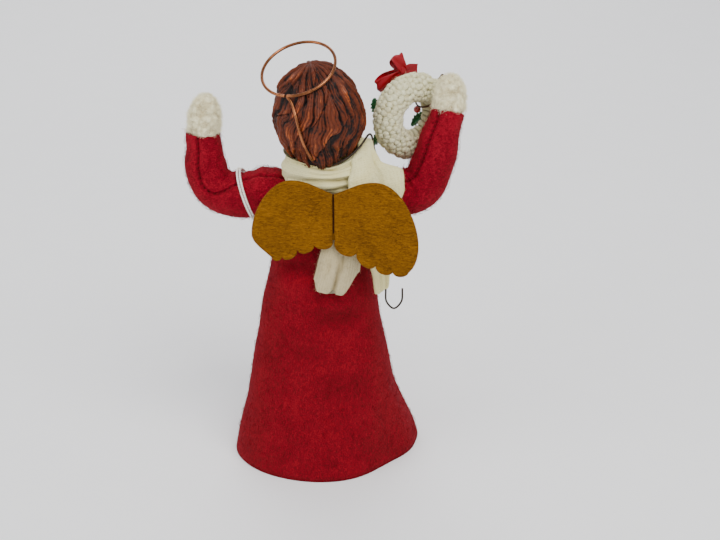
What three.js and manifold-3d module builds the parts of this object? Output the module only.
// A felt tree angel, seen from behind in use: moulded head on a dowel, felt robe and sleeves over
// chenille arms, felt wings sewn on at the back, a knitted scarf, a wire halo, a yarn wreath in the
// right hand and a wire hanger. Millimetres, +Z up, standing on its hem at z = 0, facing -Y.
import * as THREE from "three";
import { mergeVertices } from "three/addons/utils/BufferGeometryUtils.js";
import Module from "manifold-3d";

const wasm = await Module();
wasm.setup();

// Fits
const CLEARANCE = 0.3;
const TURNING_CLEARANCE = 0.6;

// Robe: half sizes of the felt cone at named heights, the upper ones measured down from the neckline
const NECKLINE_HEIGHT = 121.5;
const FELT_THICKNESS = 1.6;
const HEM_HALF_WIDTH = 36.5;
const HEM_HALF_DEPTH = 30.5;
const KNEE_HEIGHT = 42;
const KNEE_HALF_WIDTH = 28;
const KNEE_HALF_DEPTH = 22.5;
const WAIST_HEIGHT = 82;
const WAIST_HALF_WIDTH = 20.4;
const WAIST_HALF_DEPTH = 16;
const CHEST_DROP = 19.5;
const CHEST_HEIGHT = NECKLINE_HEIGHT - CHEST_DROP;
const CHEST_HALF_WIDTH = 18.4;
const CHEST_HALF_DEPTH = 13.6;
const SHOULDER_DROP = 8.5;
const SHOULDER_HEIGHT = NECKLINE_HEIGHT - SHOULDER_DROP;
const SHOULDER_HALF_WIDTH = 15.5;
const SHOULDER_HALF_DEPTH = 11.8;
const NECKLINE_HALF_WIDTH = 9.8;
const NECKLINE_HALF_DEPTH = 9.2;
const ROBE_RINGS = 9;
const ROBE_SIDES = 36;
// Soft folds of the robe: direction from +X, reach round and up the cone, and push outwards
const ROBE_FOLDS = [
  { at: 140, width: 28, height: 0, spread: 26, push: -4 },
  { at: 202, width: 18, height: 0, spread: 20, push: 3.6 },
  { at: 45, width: 34, height: 0, spread: 40, push: 1.4 },
  { at: 178, width: 36, height: 31, spread: 22, push: -4 },
  { at: 235, width: 16, height: 0, spread: 30, push: -1.6 },
  { at: 318, width: 20, height: 0, spread: 30, push: 1.5 },
];

// Stuffing in the top of the robe, and the dowel that carries the head
const PADDING_DEPTH = 49.5;
const PADDING_FLOOR = NECKLINE_HEIGHT - PADDING_DEPTH;
const PADDING_TOP_DROP = 2.6;
const PADDING_RINGS = 5;
const PEG_RADIUS = 3;
const PEG_DEPTH_IN_PADDING = 26;
const PEG_DEPTH_IN_HEAD = 14;

// Head: leans over to its left, stands on a neck stub
const HEAD_LEAN = 8;
const NECK_OFFSET = -1.3;
const NECK_RADIUS = 6;
const NECK_SEAT_DROP = 3.5;
const HEAD_HEIGHT_ON_NECK = 25.2;
const HEAD_HALF_WIDTH = 17;
const HEAD_HALF_DEPTH = 17.4;
const HEAD_HALF_HEIGHT = 19.4;
const HAIR_RIDGE = 0.7;
const HAIR_LOCKS = 13;
const FACE_INSET = 1.4;
const NOSE_HEIGHT = 1.7;

// Halo: one copper wire, a ring and the stem that lies on the hair
const HALO_RADIUS = 14.2;
const HALO_WIRE_RADIUS = 0.6;
const HALO_OFFSET = new THREE.Vector3(4.6, 1.6, 19.7);
const HALO_TILT_BACK = 26.3;
const HALO_TILT_SIDE = 7.5;
const HALO_STEM_ANGLE = 67;
const HALO_GAP = 1.4;
const HALO_STEM_DEPTH = 3;
// Where the stem lies on the hair: to the side of the head's middle, and above it
const HALO_STEM_STOPS = [[8.2, 10.8], [7.2, 6.6], [6.7, 1.6], [6.1, -3.4], [5, -8], [3.9, -11.6]];

// Arms: equal stems, bent at different places
const SHOULDER_PIVOT_INSET = 1;
const SHOULDER_PIVOT_DROP = 1.5;
const SLEEVE_SHOULDER_RADIUS = 8.6;
const SLEEVE_UPPER_RADIUS = 8.9;
const SLEEVE_ELBOW_RADIUS = 8.1;
const CUFF_RADIUS = 6.4;
const HAND_RADIUS = 6.1;
const HAND_SWELL = [0.82, 0.98, 1, 0.88, 0.6];
const ARM_WIRE_RADIUS = 0.6;
const ARM_WIRE_INSET = 1;
const ELBOW_BEND = 11.5;
const ELBOW_PIVOT_SHARE = 0.6;
const ELBOW_BALL_RADIUS = 12.8;
const ARMS = {
  left: {
    side: 1, upper: 29, upperRise: 0.5, fore: 24.2, foreRise: 88.6, foreForward: 0,
    hand: 15.5, handRise: 96, handForward: 0,
  },
  right: {
    side: -1, upper: 21.4, upperRise: -2, fore: 33.7, foreRise: 74.4, foreForward: 5,
    hand: 15, handRise: 84, handForward: 28,
  },
};

// Scarf: wrap round the neck, an end over the right shoulder, two tails down the back
const WRAP_HALF_WIDTH = 12.6;
const WRAP_HALF_DEPTH = 11.6;
const WRAP_HALF_THICKNESS = 4.2;
const WRAP_HALF_HEIGHT = 6.8;
const WRAP_RISE = 5.4;
const WRAP_FOLD = 0.09;
const WRAP_TILT = 0.8;
const WRAP_SIDES = 22;
const SCARF_THICKNESS = 3.2;
const TAIL_WIDTH = 19;
const TAIL_DROP = 44;
const TAIL_END_HEIGHT = NECKLINE_HEIGHT - TAIL_DROP;
const TAIL_FOLD = 0.8;
const TAIL_NOTCH = 0.05;
const SHOULDER_END_DROP = 46.5;
const SHOULDER_END_HEIGHT = NECKLINE_HEIGHT - SHOULDER_END_DROP;
const SHOULDER_END_WIDTHS = [10, 9, 10.5, 17, 19, 14, 11, 9.5];
const SHOULDER_END_FOLD = 0.5;
// Way of the shoulder end from the front of the neck over to the back, from the foot of the neck
const SHOULDER_END_PATH = [
  new THREE.Vector3(-7.5, -11.6, 1.5),
  new THREE.Vector3(-11.6, -7, 10),
  new THREE.Vector3(-14.6, 1, 14.6),
  new THREE.Vector3(-16, 8.6, 10.5),
  new THREE.Vector3(-17.6, 13.4, 2),
  new THREE.Vector3(-19, 14.2, -10),
  new THREE.Vector3(-19.4, 13, -28),
];
const SHOULDER_END_TIP = new THREE.Vector2(-19.8, 12.6);

// Wings: one felt leaf each side of the seam
const WING_BELOW_NECKLINE = 4.1;
const WING_ROOT_HEIGHT = NECKLINE_HEIGHT - WING_BELOW_NECKLINE;
const WING_SEAM_OFFSET = -3.4;
const WING_ROOT_DROP = 17.5;
const THREAD_RADIUS = 0.6;
const WINGS = {
  left: { side: 1, span: 31, crest: 6.3, drop: 26.4, sweep: -3 },
  right: { side: -1, span: 32.4, crest: 5.2, drop: 32, sweep: 8 },
};
const WING_SCALLOPS = 3;
const WING_SCALLOP_DEPTH = 0.42;

// Wreath: a stuffed ring wound with yarn, turned so that its outer side reaches forward
const WREATH_RADIUS = 11;
const WREATH_CORE_RADIUS = 3.9;
const YARN_HALF_THICKNESS = 0.8;
const YARN_HALF_WIDTH_INSIDE = 0.75;
const YARN_HALF_WIDTH_OUTSIDE = 2.2;
const YARN_LOOPS = 16;
const YARN_STEPS = 10;
const YARN_SPAN = 336;
const WREATH_TURN = 33;
const WREATH_GRIP_ANGLE = 135;
const WREATH_FROM_WRIST = new THREE.Vector3(13.2, -8.9, -3.9);
const TIE_RADIUS = 0.35;
const BOW_THICKNESS = 0.7;
const BOW_WIDTH = 5.2;
const BOW_KNOT_RADIUS = 2;
const BOW_KNOT_OFFSET = new THREE.Vector3(0.5, 5.2, 0.8);
const BOW_LOOP_LIFT = 3;
const BOW_LOOPS = [new THREE.Vector3(2.2, 6.4, 0.6), new THREE.Vector3(8.6, -4.6, 2.4)];
const BOW_TAILS = [new THREE.Vector3(-8, -1.2, 1.4), new THREE.Vector3(-3.4, -8.6, 2.2)];
const LEAF_LENGTH = 8.5;
const LEAF_WIDTH = 4.8;
const LEAF_THICKNESS = 0.6;
const LEAF_ARCH = 0.9;
const LEAF_CREASE = 0.35;
const BERRY_RADIUS = 1.45;
const BERRY_SINK = 0.3;
const LEAVES = [
  { at: 4, turn: 70 },
  { at: -40, turn: -38 },
  { at: 300, turn: 240 },
  { at: 196, turn: 330 },
  { at: 232, turn: 200 },
];
const BERRIES = [
  { at: 176, inwards: 5.4 },
  { at: 38, inwards: 0 },
  { at: -18, inwards: 1 },
  { at: 146, inwards: 3.4 },
  { at: 274, inwards: 0 },
];

// Hanger wire and the doubled cord round the left arm
const HANGER_RADIUS = 0.4;
const HOOK_WIDTH = 6;
const HOOK_DROP = 64.5;
const HOOK_BOTTOM = NECKLINE_HEIGHT - HOOK_DROP;
const HANGER_FRONT = 12.6;
const HANGER_BESIDE_SHOULDER = 4;
// Hanger round the nape: direction from +X, rise above the foot of the neck, stand-off
const HANGER_NAPE = [
  { turn: 80, rise: 9.4, out: 0 },
  { turn: 100, rise: 9.6, out: 0 },
  { turn: 122, rise: 11.6, out: 0 },
  { turn: 145, rise: 15.4, out: 0 },
  { turn: 168, rise: 19, out: 0.5 },
];
// Hanger down the front: outwards from beside the shoulder, back from its front, rise above the neck's foot
const HANGER_FALL = [
  { out: -1.6, back: 7.1, rise: 10 },
  { out: 0, back: 0, rise: 0 },
  { out: 1.2, back: 0, rise: -18 },
  { out: 2.4, back: 0.8, rise: -36 },
];
const HOOK_OUT = 3.8;
const HOOK_BACK = 1.6;
const HOOK_LEG = 9;
const HOOK_SPLAY = 0.4;
const CORD_RADIUS = 0.45;
const CORD_PITCH = 1.35;
const CORD_LOOPS = 2;
const CORD_STEPS = 16;
const CORD_PLACE = 12.8;
const CORD_SLANT = 0.27;
const KNOT_RADIUS = 1.5;

// Mesh fineness and looks
const WIRE_SIDES = 6;
const LIMB_SIDES = 12;
const HEAD_SWEEP_SIDES = 24;
const WELD_DISTANCE = 1e-4;
const LOOKS = {
  redFelt: { color: 0x96121f, roughness: 0.95 },
  goldFelt: { color: 0x9a6a08, roughness: 0.95 },
  knit: { color: 0xcfccb8, roughness: 0.92 },
  chenille: { color: 0xd8d3c0, roughness: 1 },
  paintedHair: { color: 0x8a4422, roughness: 0.35 },
  copper: { color: 0xa5735f, roughness: 0.35, metalness: 1 },
  darkWire: { color: 0x1c191e, roughness: 0.5, metalness: 0.8 },
  steel: { color: 0x8d8d8d, roughness: 0.4, metalness: 1 },
  rustyWire: { color: 0x5c3a26, roughness: 0.7, metalness: 0.6 },
  cotton: { color: 0xe6e2d6, roughness: 1 },
  wood: { color: 0xb58d5c, roughness: 0.8 },
  brownThread: { color: 0x4a2812, roughness: 0.8 },
  satin: { color: 0xb01024, roughness: 0.3 },
  leaf: { color: 0x14502d, roughness: 0.6 },
  berry: { color: 0xb00a18, roughness: 0.15 },
};

const radians = THREE.MathUtils.degToRad;
const vector = (x, y, z) => new THREE.Vector3(x, y, z);

// Geometry helpers

function weld(geometry) {
  const bare = geometry.clone();
  bare.deleteAttribute("normal");
  bare.deleteAttribute("uv");
  const welded = mergeVertices(bare, WELD_DISTANCE);
  const corners = welded.getIndex().array;
  const triangles = [];
  for (let i = 0; i < corners.length; i += 3) {
    const [a, b, c] = corners.slice(i, i + 3);
    if (a !== b && b !== c && c !== a) triangles.push([a, b, c]);
  }
  const flipped = signedVolume(welded, triangles) < 0;
  welded.setIndex(triangles.flatMap(([a, b, c]) => (flipped ? [a, c, b] : [a, b, c])));
  return welded;
}

function signedVolume(geometry, triangles) {
  const at = (i) => new THREE.Vector3().fromBufferAttribute(geometry.getAttribute("position"), i);
  let volume = 0;
  for (const [a, b, c] of triangles) volume += at(a).dot(at(b).cross(at(c))) / 6;
  return volume;
}

function solidOf(geometry) {
  const welded = weld(geometry);
  const vertProperties = new Float32Array(welded.getAttribute("position").array);
  const triVerts = new Uint32Array(welded.getIndex().array);
  return new wasm.Manifold(new wasm.Mesh({ numProp: 3, vertProperties, triVerts }));
}

function geometryOf(solid) {
  const { vertProperties, triVerts } = solid.getMesh();
  const geometry = new THREE.BufferGeometry();
  geometry.setAttribute("position", new THREE.BufferAttribute(new Float32Array(vertProperties), 3));
  geometry.setIndex(new THREE.BufferAttribute(new Uint32Array(triVerts), 1));
  geometry.computeVertexNormals();
  return geometry;
}

function cut(body, ...tools) {
  return geometryOf(tools.reduce((solid, tool) => solid.subtract(solidOf(tool)), solidOf(body)));
}

function join(body, ...others) {
  return geometryOf(others.reduce((solid, other) => solid.add(solidOf(other)), solidOf(body)));
}

function reshape(geometry, map) {
  const position = geometry.getAttribute("position");
  const point = new THREE.Vector3();
  for (let i = 0; i < position.count; i += 1) {
    const moved = map(point.fromBufferAttribute(position, i));
    position.setXYZ(i, moved.x, moved.y, moved.z);
  }
  geometry.computeVertexNormals();
  return geometry;
}

function revolve(profile, sides) {
  const points = profile.map(([radius, height]) => new THREE.Vector2(radius, height));
  return new THREE.LatheGeometry(points, sides).rotateX(Math.PI / 2);
}

function smoothstep(low, high, value) {
  return THREE.MathUtils.smoothstep(value, low, high);
}

function bump(distance, width) {
  return Math.exp(-((distance / width) ** 2));
}

// Value at a share of the way through evenly spaced stops
function along(stops, share) {
  const place = THREE.MathUtils.clamp(share, 0, 1) * (stops.length - 1);
  const step = Math.min(Math.floor(place), stops.length - 2);
  return THREE.MathUtils.lerp(stops[step], stops[step + 1], smoothstep(0, 1, place - step));
}

function wire(points, radius, steps) {
  const section = new THREE.Shape().absarc(0, 0, radius, 0, 2 * Math.PI);
  const extrudePath = new THREE.CatmullRomCurve3(points, false, "centripetal");
  return new THREE.ExtrudeGeometry(section, { curveSegments: WIRE_SIDES / 2, steps, extrudePath });
}

function onRing(degrees, radius, height) {
  return vector(radius * Math.cos(radians(degrees)), radius * Math.sin(radians(degrees)), height);
}

// Bends a shape that stands on the origin, so that its height runs along a curve and its X looks back
function bendAlong(geometry, curve) {
  const length = curve.getLength();
  return reshape(geometry, ({ x, y, z }) => {
    const share = THREE.MathUtils.clamp(z / length, 0, 1);
    const tangent = curve.getTangentAt(share);
    const normal = vector(0, 1, 0).projectOnPlane(tangent).normalize();
    return curve.getPointAt(share)
      .addScaledVector(normal, x)
      .addScaledVector(tangent.cross(normal), y);
  });
}

// A strip of cloth along a curve: facing says which way its outer side looks
function strip({ curve, facing, width, thickness, fold = () => 0, reach = () => 1 }, across, steps) {
  const flat = new THREE.BoxGeometry(1, 1, 1, across, 1, steps);
  return reshape(flat, ({ x, y, z }) => {
    const side = 2 * x;
    const share = THREE.MathUtils.clamp((z + 0.5) * reach(side), 0, 1);
    const point = curve.getPointAt(share);
    const outward = facing(point, share);
    const tangent = curve.getTangentAt(share);
    const normal = outward.addScaledVector(tangent, -outward.dot(tangent)).normalize();
    const sideways = tangent.clone().cross(normal);
    return point
      .addScaledVector(sideways, x * width(share))
      .addScaledVector(normal, y * thickness + fold(side, share));
  });
}

// One unbroken tube through rings of points, closed at both ends
function tubeThroughRings(rings) {
  const sides = rings[0].length;
  const positions = rings.flat().flatMap((point) => point.toArray());
  const index = [];
  for (let ring = 0; ring + 1 < rings.length; ring += 1) {
    for (let side = 0; side < sides; side += 1) {
      const a = ring * sides + side;
      const b = ring * sides + ((side + 1) % sides);
      index.push(a, b, a + sides, b, b + sides, a + sides);
    }
  }
  const last = (rings.length - 1) * sides;
  for (let side = 1; side + 1 < sides; side += 1) {
    index.push(0, side + 1, side, last, last + side, last + side + 1);
  }
  const geometry = new THREE.BufferGeometry();
  geometry.setAttribute("position", new THREE.Float32BufferAttribute(positions, 3));
  geometry.setIndex(index);
  return weld(geometry);
}

// Lets both ends of a wound tube run straight on
function withStraightEnds(rings, heading, length) {
  const moved = (ring, far) => ring.map((point) => point.clone().addScaledVector(heading, far));
  return [moved(rings[0], -length), ...rings, moved(rings[rings.length - 1], length)];
}

// Least distance between parts of a wound tube that are at least half a loop apart
function leastGap(rings, ringsPerLoop) {
  let least = Infinity;
  for (let one = 0; one < rings.length; one += 1) {
    for (let other = one + Math.ceil(ringsPerLoop / 2); other < rings.length; other += 1) {
      for (const a of rings[one]) {
        for (const b of rings[other]) least = Math.min(least, a.distanceTo(b));
      }
    }
  }
  return least;
}

// Robe

const robeProfile = new THREE.CatmullRomCurve3([
  vector(HEM_HALF_WIDTH, HEM_HALF_DEPTH, 0),
  vector(KNEE_HALF_WIDTH, KNEE_HALF_DEPTH, KNEE_HEIGHT),
  vector(WAIST_HALF_WIDTH, WAIST_HALF_DEPTH, WAIST_HEIGHT),
  vector(CHEST_HALF_WIDTH, CHEST_HALF_DEPTH, CHEST_HEIGHT),
  vector(SHOULDER_HALF_WIDTH, SHOULDER_HALF_DEPTH, SHOULDER_HEIGHT),
  vector(NECKLINE_HALF_WIDTH, NECKLINE_HALF_DEPTH, NECKLINE_HEIGHT),
], false, "centripetal");

function robeAt(share) {
  return robeProfile.getPoint(THREE.MathUtils.clamp(share, 0, 1));
}

function robeFold(angle, height) {
  let push = 0;
  for (const fold of ROBE_FOLDS) {
    const turn = Math.atan2(Math.sin(angle - radians(fold.at)), Math.cos(angle - radians(fold.at)));
    push += fold.push * bump(turn, radians(fold.width)) * bump(height - fold.height, fold.spread);
  }
  return push;
}

function robePoint(share, angle, inset) {
  const { x: halfWidth, y: halfDepth, z: height } = robeAt(share);
  const push = robeFold(angle, height) - inset;
  return vector((halfWidth + push) * Math.cos(angle), (halfDepth + push) * Math.sin(angle), height);
}

function robeShareAt(height) {
  let low = 0;
  let high = 1;
  for (let i = 0; i < 30; i += 1) {
    const middle = (low + high) / 2;
    if (robeProfile.getPoint(middle).z < height) low = middle;
    else high = middle;
  }
  return (low + high) / 2;
}

// How far back the robe reaches at a place on its back
function robeBack(x, height) {
  const { x: halfWidth, y: halfDepth } = robeProfile.getPoint(robeShareAt(height));
  return halfDepth * Math.sqrt(Math.max(0, 1 - (x / halfWidth) ** 2));
}

function robeShell() {
  const profile = [];
  for (let i = 0; i <= ROBE_RINGS; i += 1) profile.push([2, i / ROBE_RINGS]);
  for (let i = ROBE_RINGS; i >= 0; i -= 1) profile.push([1, i / ROBE_RINGS]);
  profile.push(profile[0]);
  const shell = revolve(profile, ROBE_SIDES);
  return reshape(shell, ({ x, y, z }) => {
    const outside = Math.hypot(x, y) > 1.5;
    return robePoint(z, Math.atan2(y, x), outside ? 0 : FELT_THICKNESS);
  });
}

// A filled robe between two heights, drawn in by the inset or let out by a negative one
function robeFilled(inset, from, to, rings, sides = ROBE_SIDES) {
  const low = robeShareAt(from);
  const high = robeShareAt(to);
  const profile = [[0, low]];
  for (let i = 0; i <= rings; i += 1) profile.push([1, THREE.MathUtils.lerp(low, high, i / rings)]);
  profile.push([0, high]);
  return reshape(revolve(profile, sides), ({ x, y, z }) => {
    if (Math.hypot(x, y) < 0.5) return vector(0, 0, robeAt(z).z);
    return robePoint(z, Math.atan2(y, x), inset);
  });
}

// Neck frame: the head and its dowel stand on this axis

const neckBase = vector(NECK_OFFSET, 0, NECKLINE_HEIGHT - NECK_SEAT_DROP);
const neckFrame = new THREE.Matrix4()
  .makeRotationY(radians(HEAD_LEAN))
  .setPosition(neckBase);

function onNeck(geometry) {
  return geometry.applyMatrix4(neckFrame);
}

function pegShape(radius, extra) {
  const low = -PEG_DEPTH_IN_PADDING - extra;
  const high = PEG_DEPTH_IN_HEAD + extra;
  return revolve([[0, low], [radius, low], [radius, high], [0, high]], LIMB_SIDES);
}

// Space that the head sweeps as it turns on the dowel
function headSweepRadius(height) {
  const rise = (height - HEAD_HEIGHT_ON_NECK) / (HEAD_HALF_HEIGHT + HAIR_RIDGE);
  const half = (HEAD_HALF_DEPTH + HAIR_RIDGE) * Math.sqrt(Math.max(0, 1 - rise * rise));
  return Math.max(half, NECK_RADIUS) + TURNING_CLEARANCE;
}

function headSweep() {
  const top = HEAD_HEIGHT_ON_NECK;
  const rings = 7;
  const profile = [[0, -CLEARANCE]];
  for (let i = 0; i <= rings; i += 1) {
    const height = THREE.MathUtils.lerp(-CLEARANCE, top, i / rings);
    profile.push([headSweepRadius(height), height]);
  }
  profile.push([0, top]);
  return onNeck(revolve(profile, HEAD_SWEEP_SIDES));
}

// Head

function facePart(azimuth, elevation) {
  const spread = Math.hypot(azimuth / 0.82, (elevation + 0.2) / 0.72);
  return 1 - smoothstep(0.86, 1, spread);
}

function headPoint({ x, y, z }) {
  const azimuth = Math.atan2(x, -y);
  const elevation = Math.asin(THREE.MathUtils.clamp(z, -1, 1));
  const face = facePart(azimuth, elevation);
  const lock = Math.sin(HAIR_LOCKS * azimuth + 2.2 * Math.sin(3 * elevation));
  const ridge = HAIR_RIDGE * lock * Math.cos(elevation) * (1 - face);
  const nose = NOSE_HEIGHT * bump(azimuth, 0.14) * bump(elevation + 0.2, 0.2);
  const push = ridge - FACE_INSET * face + nose * face;
  return vector(
    (HEAD_HALF_WIDTH + push) * x,
    (HEAD_HALF_DEPTH + push) * y,
    HEAD_HEIGHT_ON_NECK + (HEAD_HALF_HEIGHT + push) * z,
  );
}

function headShape(stem) {
  const skull = reshape(new THREE.SphereGeometry(1, 40, 16).rotateX(Math.PI / 2), headPoint);
  const stub = revolve([[0, 0], [NECK_RADIUS, 0], [NECK_RADIUS, HEAD_HEIGHT_ON_NECK],
    [0, HEAD_HEIGHT_ON_NECK]], LIMB_SIDES);
  const bore = pegShape(PEG_RADIUS + CLEARANCE, CLEARANCE);
  return cut(join(skull, stub), bore, stem);
}

// Halo

function hairBack(x, height) {
  const across = x / (HEAD_HALF_WIDTH + HAIR_RIDGE);
  const rise = (height - HEAD_HEIGHT_ON_NECK) / (HEAD_HALF_HEIGHT + HAIR_RIDGE);
  return (HEAD_HALF_DEPTH + HAIR_RIDGE) * Math.sqrt(Math.max(0.05, 1 - across * across - rise * rise));
}

function haloRoute(lift) {
  const tilt = new THREE.Euler(-radians(HALO_TILT_BACK), radians(HALO_TILT_SIDE), 0, "YXZ");
  const centre = HALO_OFFSET.clone().add(vector(0, 0, HEAD_HEIGHT_ON_NECK));
  const start = radians(HALO_STEM_ANGLE);
  const turn = 2 * Math.PI - HALO_GAP / HALO_RADIUS;
  const points = [];
  const steps = 24;
  for (let i = 0; i <= steps; i += 1) {
    const angle = start + turn * (1 - i / steps);
    const ring = vector(Math.cos(angle), Math.sin(angle), 0).multiplyScalar(HALO_RADIUS);
    points.push(ring.applyEuler(tilt).add(centre));
  }
  for (const [x, above] of HALO_STEM_STOPS) {
    const height = HEAD_HEIGHT_ON_NECK + above;
    points.push(vector(x, hairBack(x, height) + lift, height));
  }
  const end = points[points.length - 1];
  points.push(vector(end.x, end.y - HALO_STEM_DEPTH, end.z - HALO_STEM_DEPTH / 2));
  return points;
}

function haloShape(extra) {
  return wire(haloRoute(HALO_WIRE_RADIUS + CLEARANCE), HALO_WIRE_RADIUS + extra, 46);
}

// Arms

function armDirection(side, rise, forward) {
  const level = Math.cos(radians(forward));
  return vector(
    side * Math.cos(radians(rise)) * level,
    -Math.sin(radians(forward)),
    Math.sin(radians(rise)) * level,
  );
}

function armLine(arm) {
  const shoulder = vector(
    arm.side * (SHOULDER_HALF_WIDTH + SHOULDER_PIVOT_INSET),
    0,
    SHOULDER_HEIGHT - SHOULDER_PIVOT_DROP,
  );
  const upper = armDirection(arm.side, arm.upperRise, 0);
  const fore = armDirection(arm.side, arm.foreRise, arm.foreForward);
  const grasp = armDirection(arm.side, arm.handRise, arm.handForward);
  const corner = shoulder.clone().addScaledVector(upper, arm.upper);
  const before = corner.clone().addScaledVector(upper, -ELBOW_BEND);
  const after = corner.clone().addScaledVector(fore, ELBOW_BEND);
  const bend = before.clone().add(after).multiplyScalar(0.25).addScaledVector(corner, 0.5);
  const elbow = bend.clone().lerp(corner, ELBOW_PIVOT_SHARE);
  const wrist = corner.clone().addScaledVector(fore, arm.fore);
  const tip = wrist.clone().addScaledVector(grasp, arm.hand);
  const points = [
    shoulder,
    shoulder.clone().lerp(before, 0.5),
    before,
    bend,
    after,
    after.clone().lerp(wrist, 0.6),
    wrist,
    wrist.clone().lerp(tip, 0.5),
    tip,
  ];
  const curve = new THREE.CatmullRomCurve3(points, false, "centripetal");
  const sleeveLength = curve.getLength() - arm.hand;
  return { curve, shoulder, elbow, wrist, tip, upper, fore, sleeveLength };
}

const SLEEVE_RADII = [SLEEVE_SHOULDER_RADIUS, SLEEVE_UPPER_RADIUS, SLEEVE_ELBOW_RADIUS, CUFF_RADIUS];
const SLEEVE_STEPS = 10;

function sleeveShape(line, extra) {
  const profile = [];
  for (let i = 0; i <= SLEEVE_STEPS; i += 1) {
    const share = i / SLEEVE_STEPS;
    profile.push([along(SLEEVE_RADII, share) + extra, share * line.sleeveLength]);
  }
  for (let i = SLEEVE_STEPS; i >= 0; i -= 1) {
    const share = i / SLEEVE_STEPS;
    profile.push([along(SLEEVE_RADII, share) - FELT_THICKNESS, share * line.sleeveLength]);
  }
  profile.push(profile[0]);
  return bendAlong(revolve(profile, LIMB_SIDES), line.curve);
}

function stemShape(line, arm) {
  const profile = [[0, 0]];
  for (let i = 0; i <= SLEEVE_STEPS; i += 1) {
    const share = i / SLEEVE_STEPS;
    profile.push([along(SLEEVE_RADII, share) - FELT_THICKNESS - CLEARANCE, share * line.sleeveLength]);
  }
  HAND_SWELL.forEach((swell, i) => {
    const share = (i + 1) / (HAND_SWELL.length + 1);
    profile.push([HAND_RADIUS * swell, line.sleeveLength + share * arm.hand]);
  });
  profile.push([0, line.sleeveLength + arm.hand]);
  return bendAlong(revolve(profile, LIMB_SIDES), line.curve);
}

function armWireShape(line, arm, extra) {
  const low = ARM_WIRE_INSET - extra;
  const high = line.sleeveLength + arm.hand / 2 + extra;
  const radius = ARM_WIRE_RADIUS + extra;
  const rings = 14;
  const profile = [[0, low]];
  for (let i = 0; i <= rings; i += 1) profile.push([radius, THREE.MathUtils.lerp(low, high, i / rings)]);
  profile.push([0, high]);
  return bendAlong(revolve(profile, WIRE_SIDES), line.curve);
}

// The forearm keeps what lies in the elbow's ball and beyond it, the upper arm the rest
function splitAtElbow(geometry, line) {
  const reach = 200;
  const bend = line.fore.clone().sub(line.upper.clone().negate()).normalize();
  const block = (gap) => {
    const box = new THREE.BoxGeometry(reach, reach, reach);
    const turn = new THREE.Quaternion().setFromUnitVectors(vector(0, 0, 1), bend);
    const centre = line.elbow.clone().addScaledVector(bend, reach / 2 - gap);
    return solidOf(box.applyQuaternion(turn).translate(centre.x, centre.y, centre.z));
  };
  const ball = (radius) => {
    const sphere = new THREE.SphereGeometry(radius, 16, 10);
    return solidOf(sphere.translate(line.elbow.x, line.elbow.y, line.elbow.z));
  };
  const whole = solidOf(geometry);
  const lowerSpace = ball(ELBOW_BALL_RADIUS).add(block(0));
  const upperSpace = ball(ELBOW_BALL_RADIUS + 2 * CLEARANCE).add(block(2 * CLEARANCE));
  return [geometryOf(whole.subtract(upperSpace)), geometryOf(whole.intersect(lowerSpace))];
}

function shoulderSocket(line) {
  const radius = SLEEVE_UPPER_RADIUS + TURNING_CLEARANCE;
  const { x, y, z } = line.shoulder;
  return new THREE.SphereGeometry(radius, 14, 10).translate(x, y, z);
}

// Scarf

function wrapShape() {
  const corners = 10;
  const profile = [];
  for (let i = 0; i <= corners; i += 1) {
    const angle = (2 * Math.PI * (i % corners)) / corners;
    const swell = 1 + WRAP_FOLD * Math.cos(4 * angle);
    profile.push([
      1 + 0.5 * swell * Math.cos(angle),
      swell * Math.sin(angle),
    ]);
  }
  const centre = neckBase.z + WRAP_RISE;
  return reshape(revolve(profile, WRAP_SIDES), ({ x, y, z }) => {
    const angle = Math.atan2(y, x);
    const outwards = (Math.hypot(x, y) - 1) * 2 * WRAP_HALF_THICKNESS;
    return vector(
      neckBase.x + (WRAP_HALF_WIDTH + outwards) * Math.cos(angle),
      (WRAP_HALF_DEPTH + outwards) * Math.sin(angle),
      centre + WRAP_HALF_HEIGHT * z + WRAP_TILT * Math.cos(angle),
    );
  });
}

function onBack(x, height) {
  return vector(x, robeBack(x, height) + CLEARANCE + SCARF_THICKNESS / 2, height);
}

function tailShape() {
  const top = neckBase.z;
  const heights = [top, top - 6, top - 16, top - 28, TAIL_END_HEIGHT];
  const points = heights.map((height, i) => onBack(WING_SEAM_OFFSET - 0.4 * i, height));
  return strip({
    curve: new THREE.CatmullRomCurve3(points),
    facing: () => vector(0, 1, 0),
    width: (share) => TAIL_WIDTH * (0.72 + 0.28 * share),
    thickness: SCARF_THICKNESS,
    fold: (side, share) => TAIL_FOLD * share * (1 + Math.sin(4 * side)),
    reach: (side) => 1 - TAIL_NOTCH * bump(side, 0.25) - 0.02 * side,
  }, 6, 7);
}

function shoulderEndShape() {
  const z = neckBase.z;
  const x = neckBase.x;
  const points = SHOULDER_END_PATH.map((step) => step.clone().add(vector(x, 0, z)));
  points.push(vector(x + SHOULDER_END_TIP.x, SHOULDER_END_TIP.y, SHOULDER_END_HEIGHT));
  return strip({
    curve: new THREE.CatmullRomCurve3(points, false, "centripetal"),
    facing: (point) => vector(0.4 * (point.x - x + 8), point.y, Math.max(0, point.z - z + 6)),
    width: (share) => along(SHOULDER_END_WIDTHS, share),
    thickness: SCARF_THICKNESS,
    fold: (side, share) => SHOULDER_END_FOLD * Math.sin(5 * side) * smoothstep(0.3, 0.6, share),
    reach: (side) => 1 - 0.02 * side,
  }, 6, 16);
}

// Wings

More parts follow.
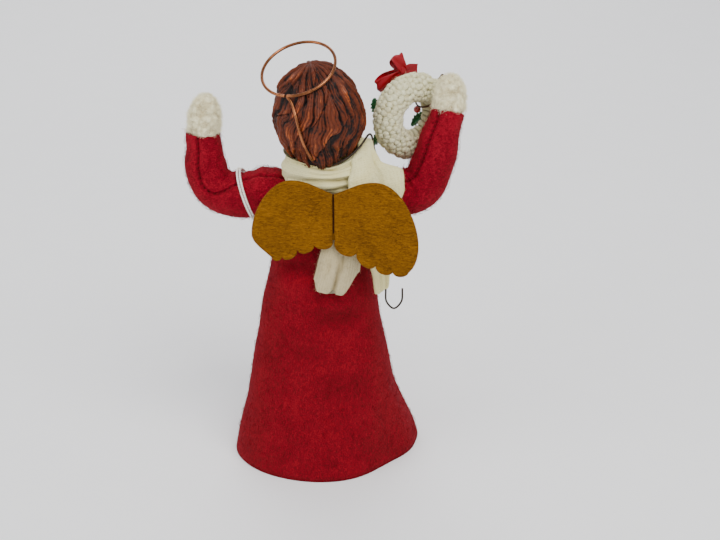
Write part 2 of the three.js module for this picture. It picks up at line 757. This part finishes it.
function wingOutline({ span, crest, drop }) {
  const root = THREAD_RADIUS + CLEARANCE;
  const shape = new THREE.Shape();
  shape.moveTo(root, 0);
  shape.bezierCurveTo(span * 0.2, crest * 0.5, span * 0.3, crest, span * 0.5, crest);
  shape.bezierCurveTo(span * 0.78, crest, span, -drop * 0.24, span, -drop * 0.56);
  shape.bezierCurveTo(span, -drop * 0.76, span * 0.86, -drop * 0.84, span * 0.76, -drop);
  const tip = new THREE.Vector2(span * 0.76, -drop);
  const foot = new THREE.Vector2(root, -WING_ROOT_DROP);
  for (let i = 1; i <= WING_SCALLOPS; i += 1) {
    const start = tip.clone().lerp(foot, (i - 1) / WING_SCALLOPS);
    const end = tip.clone().lerp(foot, i / WING_SCALLOPS);
    const sag = start.distanceTo(end) * WING_SCALLOP_DEPTH;
    const leaving = start.clone().add(new THREE.Vector2(-0.2, -0.6).multiplyScalar(sag));
    const arriving = end.clone().add(new THREE.Vector2(0.3, -1).multiplyScalar(sag));
    shape.bezierCurveTo(leaving.x, leaving.y, arriving.x, arriving.y, end.x, end.y);
  }
  shape.lineTo(root, 0);
  return shape;
}

const wingRoot = vector(
  WING_SEAM_OFFSET,
  robeBack(WING_SEAM_OFFSET, WING_ROOT_HEIGHT - WING_ROOT_DROP)
    + CLEARANCE + SCARF_THICKNESS + 2 * TAIL_FOLD + CLEARANCE + FELT_THICKNESS / 2,
  WING_ROOT_HEIGHT,
);

function wingShape(wing) {
  const felt = new THREE.ExtrudeGeometry(wingOutline(wing), {
    depth: FELT_THICKNESS,
    bevelEnabled: false,
    curveSegments: 7,
  });
  felt.translate(0, 0, -FELT_THICKNESS / 2).rotateX(Math.PI / 2);
  if (wing.side < 0) felt.applyMatrix4(new THREE.Matrix4().makeScale(-1, 1, 1));
  felt.rotateZ(wing.side * radians(wing.sweep));
  return felt.translate(wingRoot.x, wingRoot.y, wingRoot.z);
}

function threadShape() {
  const points = [
    wingRoot.clone().add(vector(0, 0, THREAD_RADIUS)),
    wingRoot.clone().add(vector(0, 0, -WING_ROOT_DROP / 2)),
    wingRoot.clone().add(vector(0, 0, -WING_ROOT_DROP + THREAD_RADIUS)),
  ];
  return wire(points, THREAD_RADIUS, 6);
}

// Wreath, in its own frame: ring in the XY plane, front along +Z

const WREATH_TUBE_RADIUS = WREATH_CORE_RADIUS + CLEARANCE + 2 * YARN_HALF_THICKNESS;

function ringShape(tubeRadius, sides, segments) {
  const profile = [];
  for (let i = 0; i <= sides; i += 1) {
    const angle = (2 * Math.PI * (i % sides)) / sides;
    profile.push([WREATH_RADIUS + tubeRadius * Math.cos(angle), tubeRadius * Math.sin(angle)]);
  }
  return revolve(profile, segments);
}

function windingRings() {
  const start = radians(WREATH_GRIP_ANGLE + (360 - YARN_SPAN) / 2);
  const coil = WREATH_CORE_RADIUS + CLEARANCE + YARN_HALF_THICKNESS;
  const total = YARN_LOOPS * YARN_STEPS;
  const rings = [];
  for (let i = 0; i <= total; i += 1) {
    const turn = (2 * Math.PI * i) / YARN_STEPS;
    const angle = start + radians(YARN_SPAN) * (i / total);
    const radial = vector(Math.cos(angle), Math.sin(angle), 0);
    const axial = vector(0, 0, 1);
    const tangent = vector(-Math.sin(angle), Math.cos(angle), 0);
    const outwards = radial.clone().multiplyScalar(Math.cos(turn)).addScaledVector(axial, Math.sin(turn));
    const centre = radial.clone().multiplyScalar(WREATH_RADIUS).addScaledVector(outwards, coil);
    const open = (1 + Math.cos(turn)) / 2;
    const half = THREE.MathUtils.lerp(YARN_HALF_WIDTH_INSIDE, YARN_HALF_WIDTH_OUTSIDE, open);
    rings.push(sectionRing(centre, outwards, tangent, YARN_HALF_THICKNESS, half));
  }
  return withStraightEnds(rings, vector(0, 0, 1), 2 * YARN_HALF_THICKNESS);
}

function sectionRing(centre, outwards, sideways, halfThickness, halfWidth) {
  const ring = [];
  for (let side = 0; side < WIRE_SIDES; side += 1) {
    const angle = (2 * Math.PI * side) / WIRE_SIDES;
    ring.push(centre.clone()
      .addScaledVector(outwards, halfThickness * Math.cos(angle))
      .addScaledVector(sideways, halfWidth * Math.sin(angle)));
  }
  return ring;
}

function tieShape(extra) {
  const around = WREATH_TUBE_RADIUS + CLEARANCE + TIE_RADIUS;
  const loop = new THREE.TorusGeometry(around, TIE_RADIUS + extra, WIRE_SIDES, 16);
  const grip = onRing(WREATH_GRIP_ANGLE, WREATH_RADIUS, 0);
  return loop.rotateX(Math.PI / 2).rotateZ(radians(WREATH_GRIP_ANGLE)).translate(grip.x, grip.y, grip.z);
}

const bowKnot = BOW_KNOT_OFFSET.clone().add(vector(0, WREATH_RADIUS, WREATH_TUBE_RADIUS));

function bowLoop(tip) {
  const middle = bowKnot.clone().lerp(tip, 0.5);
  const points = [
    bowKnot.clone().add(vector(0, 0, BOW_THICKNESS)),
    middle.clone().add(vector(0, 0, BOW_LOOP_LIFT)),
    tip,
    middle.clone().add(vector(0, 0, -BOW_LOOP_LIFT / 4)),
    bowKnot.clone().add(vector(0, 0, -BOW_THICKNESS)),
  ];
  const leg = tip.clone().sub(bowKnot).normalize();
  const plane = leg.clone().cross(vector(0, 0, 1)).normalize();
  return strip({
    curve: new THREE.CatmullRomCurve3(points),
    facing: (point) => point.clone().sub(middle).projectOnPlane(plane),
    width: () => BOW_WIDTH,
    thickness: BOW_THICKNESS,
  }, 1, 10);
}

function bowTail(tip) {
  const points = [bowKnot, bowKnot.clone().lerp(tip, 0.5).add(vector(0, 0, 0.8)), tip];
  return strip({
    curve: new THREE.CatmullRomCurve3(points),
    facing: () => vector(0, 0, 1),
    width: () => BOW_WIDTH,
    thickness: BOW_THICKNESS,
    reach: (side) => 1 - 0.12 * side,
  }, 2, 4);
}

function bowShape() {
  const knot = new THREE.SphereGeometry(BOW_KNOT_RADIUS, 8, 6).translate(bowKnot.x, bowKnot.y, bowKnot.z);
  const ends = (steps) => steps.map((step) => bowKnot.clone().add(step));
  return join(knot, ...ends(BOW_LOOPS).map(bowLoop), ...ends(BOW_TAILS).map(bowTail));
}

// A pointed leaf with three lobes along each edge
function leafWidth(share) {
  const lobes = 1 - 0.3 * Math.cos(6 * Math.PI * share) ** 2;
  return LEAF_WIDTH * (0.12 + 0.88 * Math.sin(Math.PI * share)) * lobes;
}

function leafShape({ at, turn }) {
  const foot = onRing(at, WREATH_RADIUS, WREATH_TUBE_RADIUS + CLEARANCE + LEAF_THICKNESS / 2);
  const aim = vector(Math.cos(radians(turn)), Math.sin(radians(turn)), 0);
  const points = [0, 0.5, 1].map((share) => foot.clone()
    .addScaledVector(aim, (share - 0.15) * LEAF_LENGTH)
    .add(vector(0, 0, LEAF_ARCH * Math.sin(Math.PI * share))));
  return strip({
    curve: new THREE.CatmullRomCurve3(points),
    facing: () => vector(0, 0, 1),
    width: leafWidth,
    thickness: LEAF_THICKNESS,
    fold: (side) => LEAF_CREASE * Math.abs(side),
  }, 2, 6);
}

function berryShape({ at, inwards }) {
  const reach = WREATH_TUBE_RADIUS + CLEARANCE + BERRY_RADIUS - BERRY_SINK;
  const lean = Math.asin(THREE.MathUtils.clamp(inwards / reach, 0, 1));
  const centre = onRing(at, WREATH_RADIUS - reach * Math.sin(lean), reach * Math.cos(lean));
  return new THREE.SphereGeometry(BERRY_RADIUS, 8, 6).translate(centre.x, centre.y, centre.z);
}

// Hanger: from the nape round the right of the neck, over the scarf, down past the arm to a hook

function hangerShape(rightLine, extra) {
  const side = rightLine.shoulder.x - HANGER_BESIDE_SHOULDER;
  const nape = HANGER_NAPE.map(({ turn, rise, out }) => {
    const radius = headSweepRadius(rise) + HANGER_RADIUS + out;
    const axis = neckBase.x + rise * Math.tan(radians(HEAD_LEAN));
    return onRing(turn, radius, neckBase.z + rise).add(vector(axis, 0, 0));
  });
  const fall = HANGER_FALL.map(({ out, back, rise }) => (
    vector(side - out, back - HANGER_FRONT, neckBase.z + rise)));
  const hook = (out, rise) => vector(side - HOOK_OUT - out, HOOK_BACK - HANGER_FRONT, HOOK_BOTTOM + rise);
  const points = [
    ...nape,
    ...fall,
    hook(-HOOK_SPLAY, HOOK_LEG),
    hook(0, HOOK_WIDTH / 2),
    hook(HOOK_WIDTH / 2, 0),
    hook(HOOK_WIDTH, HOOK_WIDTH / 2),
    hook(HOOK_WIDTH + HOOK_SPLAY, HOOK_LEG),
  ];
  return wire(points, HANGER_RADIUS + extra, 44);
}

// Cord: two slanted loops round the left upper arm, tied in front

function cordRings(line) {
  const share = CORD_PLACE / line.curve.getLength();
  const centre = line.curve.getPointAt(share);
  const armRadius = along(SLEEVE_RADII, CORD_PLACE / line.sleeveLength);
  const radius = armRadius + CLEARANCE + CORD_RADIUS;
  const total = CORD_LOOPS * CORD_STEPS;
  const rings = [];
  for (let i = 0; i <= total; i += 1) {
    const angle = -Math.PI / 2 + (2 * Math.PI * i) / CORD_STEPS;
    const drift = CORD_PITCH * CORD_LOOPS * (i / total - 0.5);
    const around = vector(0, Math.sin(angle), Math.cos(angle));
    const slant = CORD_SLANT * radius * Math.cos(angle);
    const point = centre.clone().addScaledVector(around, radius).add(vector(drift + slant, 0, 0));
    rings.push(sectionRing(point, around, vector(1, 0, 0), CORD_RADIUS, CORD_RADIUS));
  }
  return withStraightEnds(rings, vector(0, 0, 1), 2 * CORD_RADIUS);
}

function knotShape(line) {
  const centre = line.curve.getPointAt(CORD_PLACE / line.curve.getLength());
  const armRadius = along(SLEEVE_RADII, CORD_PLACE / line.sleeveLength);
  const out = armRadius + 2 * CLEARANCE + 2 * CORD_RADIUS + KNOT_RADIUS;
  return new THREE.SphereGeometry(KNOT_RADIUS, 8, 6).translate(centre.x, -out, centre.z);
}

// Assembly

const angel = new THREE.Group();

function add(parent, name, geometry, look) {
  const body = weld(geometry);
  body.computeVertexNormals();
  const mesh = new THREE.Mesh(body, new THREE.MeshStandardMaterial(LOOKS[look]));
  mesh.name = name;
  parent.add(mesh);
  return mesh;
}

const leftLine = armLine(ARMS.left);
const rightLine = armLine(ARMS.right);
const sockets = [shoulderSocket(leftLine), shoulderSocket(rightLine)];
const paddingTop = NECKLINE_HEIGHT - PADDING_TOP_DROP;

// Body
add(angel, "robe", cut(robeShell(), ...sockets), "redFelt");
const stuffing = robeFilled(FELT_THICKNESS + 2 * CLEARANCE, PADDING_FLOOR, paddingTop, PADDING_RINGS);
const pegBore = onNeck(pegShape(PEG_RADIUS + CLEARANCE, CLEARANCE));
add(angel, "torso_padding", cut(stuffing, ...sockets, pegBore, headSweep()), "cotton");
add(angel, "neck_peg", onNeck(pegShape(PEG_RADIUS, 0)), "wood");

// Head and halo stand in the neck's frame
const headGroup = new THREE.Group();
headGroup.position.copy(neckBase);
headGroup.rotation.y = radians(HEAD_LEAN);
angel.add(headGroup);
add(headGroup, "head", headShape(haloShape(CLEARANCE)), "paintedHair");
add(headGroup, "halo", haloShape(0), "copper");

// Scarf, cut to sit on the robe and clear of the head and the arms
const robeSpace = robeFilled(-CLEARANCE, 0, NECKLINE_HEIGHT, ROBE_RINGS).translate(0, 0, CLEARANCE);
const armSpace = [leftLine, rightLine].map((line) => sleeveShape(line, CLEARANCE));
const knitted = join(wrapShape(), tailShape(), shoulderEndShape());
const hangerSpace = hangerShape(rightLine, CLEARANCE);
add(angel, "scarf", cut(knitted, robeSpace, headSweep(), hangerSpace, ...armSpace, ...sockets), "knit");

// Wings
for (const [name, wing] of Object.entries(WINGS)) add(angel, `${name}_wing`, wingShape(wing), "goldFelt");
add(angel, "wing_seam", threadShape(), "brownThread");

// Wreath group
const wreathGroup = new THREE.Group();
const wreathX = vector(Math.cos(radians(WREATH_TURN)), Math.sin(radians(WREATH_TURN)), 0);
const wreathY = vector(0, 0, 1);
wreathGroup.matrix.makeBasis(wreathX, wreathY, wreathX.clone().cross(wreathY));
wreathGroup.matrix.setPosition(rightLine.wrist.clone().add(WREATH_FROM_WRIST));
wreathGroup.matrix.decompose(wreathGroup.position, wreathGroup.quaternion, wreathGroup.scale);
angel.add(wreathGroup);
const yarnRings = windingRings();
add(wreathGroup, "wreath_core", ringShape(WREATH_CORE_RADIUS, 8, 26), "cotton");
add(wreathGroup, "wreath_winding", tubeThroughRings(yarnRings), "chenille");
add(wreathGroup, "wreath_tie", tieShape(0), "rustyWire");
add(wreathGroup, "bow", bowShape(), "satin");
LEAVES.forEach((leaf, i) => add(wreathGroup, `leaf_${i + 1}`, leafShape(leaf), "leaf"));
BERRIES.forEach((berry, i) => add(wreathGroup, `berry_${i + 1}`, berryShape(berry), "berry"));

// Arms: the right hand is dented by the wreath and its tie
const wreathSpace = [ringShape(WREATH_TUBE_RADIUS + 2 * CLEARANCE, 8, 24), tieShape(CLEARANCE)]
  .map((geometry) => geometry.applyMatrix4(wreathGroup.matrix));
for (const [name, line] of [["left", leftLine], ["right", rightLine]]) {
  const arm = ARMS[name];
  const bore = armWireShape(line, arm, CLEARANCE);
  const dents = name === "right" ? wreathSpace : [];
  const sleeves = splitAtElbow(sleeveShape(line, 0), line);
  const stems = splitAtElbow(cut(stemShape(line, arm), bore, ...dents), line);
  const wires = splitAtElbow(armWireShape(line, arm, 0), line);
  add(angel, `${name}_upper_sleeve`, sleeves[0], "redFelt");
  add(angel, `${name}_lower_sleeve`, sleeves[1], "redFelt");
  add(angel, `${name}_upper_stem`, stems[0], "chenille");
  add(angel, `${name}_hand`, stems[1], "chenille");
  add(angel, `${name}_upper_wire`, wires[0], "steel");
  add(angel, `${name}_lower_wire`, wires[1], "steel");
}

// Hanger and cord
add(angel, "hanger", hangerShape(rightLine, 0), "darkWire");
const loops = cordRings(leftLine);
add(angel, "arm_cord", tubeThroughRings(loops), "cotton");
add(angel, "cord_knot", knotShape(leftLine), "cotton");

console.log("wreath winding, least gap to itself (mm):", leastGap(yarnRings, YARN_STEPS).toFixed(2));
console.log("arm cord, least gap to itself (mm):", leastGap(loops, CORD_STEPS).toFixed(2));

// Joint places, for whoever rigs the figure
angel.userData.pivots = {
  neck: neckBase.toArray(),
  neckAxis: vector(0, 0, 1).transformDirection(neckFrame).toArray(),
  leftShoulder: leftLine.shoulder.toArray(),
  leftElbow: leftLine.elbow.toArray(),
  rightShoulder: rightLine.shoulder.toArray(),
  rightElbow: rightLine.elbow.toArray(),
  wingRoot: wingRoot.toArray(),
  wreathGrip: onRing(WREATH_GRIP_ANGLE, WREATH_RADIUS, 0).applyMatrix4(wreathGroup.matrix).toArray(),
  wreathGripAxis: onRing(WREATH_GRIP_ANGLE + 90, 1, 0).transformDirection(wreathGroup.matrix).toArray(),
};

export default angel;
